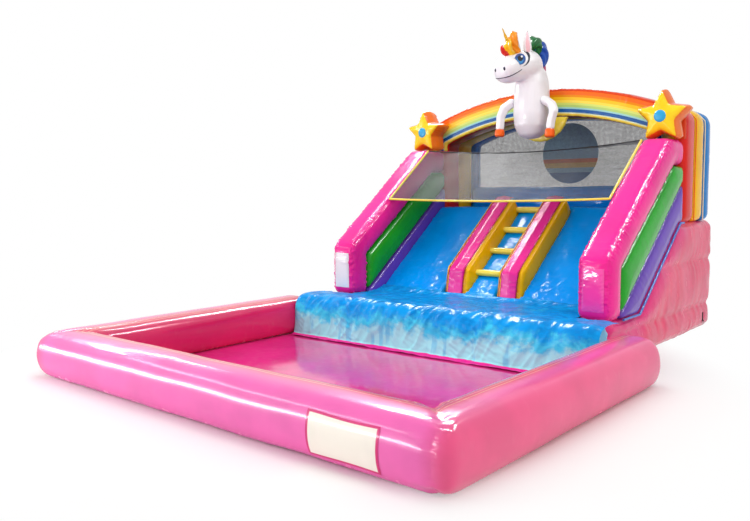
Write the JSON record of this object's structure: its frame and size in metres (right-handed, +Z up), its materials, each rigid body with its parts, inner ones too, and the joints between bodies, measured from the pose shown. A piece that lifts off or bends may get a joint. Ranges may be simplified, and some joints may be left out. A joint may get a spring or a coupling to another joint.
{
  "type": "inflatable water slide",
  "caption": "Inflatable slide with twin lanes, a climbing lane, padded side walls, a rainbow arch, safety nets and a splash pool.",
  "frame": {"origin": "on the ground and on the centreline, under the middle of the toe tube between the pool and the slide", "axes": "+Z up, +Y from the pool towards the slide's rear, +X to the right of someone in the pool facing the slide"},
  "size_m": [4.57, 6.4086, 3.4773],
  "materials": {
    "pink_pvc": "glossy coated PVC",
    "pool_pink_pvc": "glossy coated PVC",
    "floor_pvc": "glossy coated PVC",
    "blue_pvc": "glossy coated PVC",
    "amber_pvc": "glossy coated PVC",
    "pale_yellow_pvc": "satin coated PVC",
    "green_pvc": "glossy coated PVC",
    "purple_pvc": "glossy coated PVC",
    "red_pvc": "glossy coated PVC",
    "orange_pvc": "glossy coated PVC",
    "white_pvc": "satin coated PVC",
    "gold_pvc": "satin coated PVC",
    "panel_print": "printed banner, left bare",
    "disc_print": "printed banner, left plain",
    "black_mesh": "knotless mesh and webbing",
    "steel": "zinc-plated"
  },
  "bodies": {
    "slide": {"pool_wall_front": "pool_pink_pvc", "pool_wall_left": "pool_pink_pvc", "pool_wall_right": "pool_pink_pvc", "pool_floor": "floor_pvc", "notice_panel": "panel_print", "post_panel": "white_pvc", "toe_tube": "blue_pvc", "splash_apron": "blue_pvc", "slide_base": "pink_pvc", "lane_left": "blue_pvc", "lane_right": "blue_pvc", "climb_lane": "blue_pvc", "deck": "blue_pvc", "rung_1": "pale_yellow_pvc", "rung_2": "pale_yellow_pvc", "rung_3": "pale_yellow_pvc", "rung_4": "pale_yellow_pvc", "divider_core_left": "amber_pvc", "divider_core_right": "amber_pvc", "divider_cap_left": "pink_pvc", "divider_cap_right": "pink_pvc", "wall_cap_left": "pink_pvc", "wall_cap_right": "pink_pvc", "wall_green_left": "green_pvc", "wall_green_right": "green_pvc", "wall_purple_left": "purple_pvc", "wall_purple_right": "purple_pvc", "arch_red": "red_pvc", "arch_amber": "amber_pvc", "arch_blue": "blue_pvc", "rainbow_panel": "amber_pvc", "unicorn_backing": "pale_yellow_pvc", "rear_parapet": "blue_pvc", "roof_net": "black_mesh", "ledge_net": "black_mesh", "arch_net": "black_mesh", "rear_net": "black_mesh", "net_binding": "pale_yellow_pvc", "rear_disc": "disc_print", "star_left": "amber_pvc", "star_right": "amber_pvc", "unicorn_body": "white_pvc", "unicorn_head": "white_pvc", "unicorn_horn": "gold_pvc", "unicorn_ear_left": "white_pvc", "unicorn_ear_right": "white_pvc", "unicorn_forelock": "orange_pvc", "unicorn_mane": "green_pvc", "unicorn_arm_left": "white_pvc", "unicorn_arm_right": "white_pvc", "unicorn_hoof_left": "orange_pvc", "unicorn_hoof_right": "orange_pvc", "anchor_tab_left": "black_mesh", "anchor_tab_right": "black_mesh", "inlet_sleeve": "pink_pvc", "zip_tape": "black_mesh"},
    "ring_left": {"anchor_ring_left": "steel"},
    "ring_right": {"anchor_ring_right": "steel"},
    "slider": {"zip_slider": "steel"}
  },
  "joints": [
    {"name": "ring_left_swing", "type": "hinge", "parent": "slide", "child": "ring_left", "pos_m": [-1.7263, 2.9, 0.095], "axis": [0, 1, 0], "range_deg": [0, 100]},
    {"name": "ring_right_swing", "type": "hinge", "parent": "slide", "child": "ring_right", "pos_m": [1.7263, 2.9, 0.095], "axis": [0, -1, 0], "range_deg": [0, 100]},
    {"name": "zip_slide", "type": "slide", "parent": "slide", "child": "slider", "axis": [1, 0, 0], "range_m": [0, 0.44]}
  ]
}
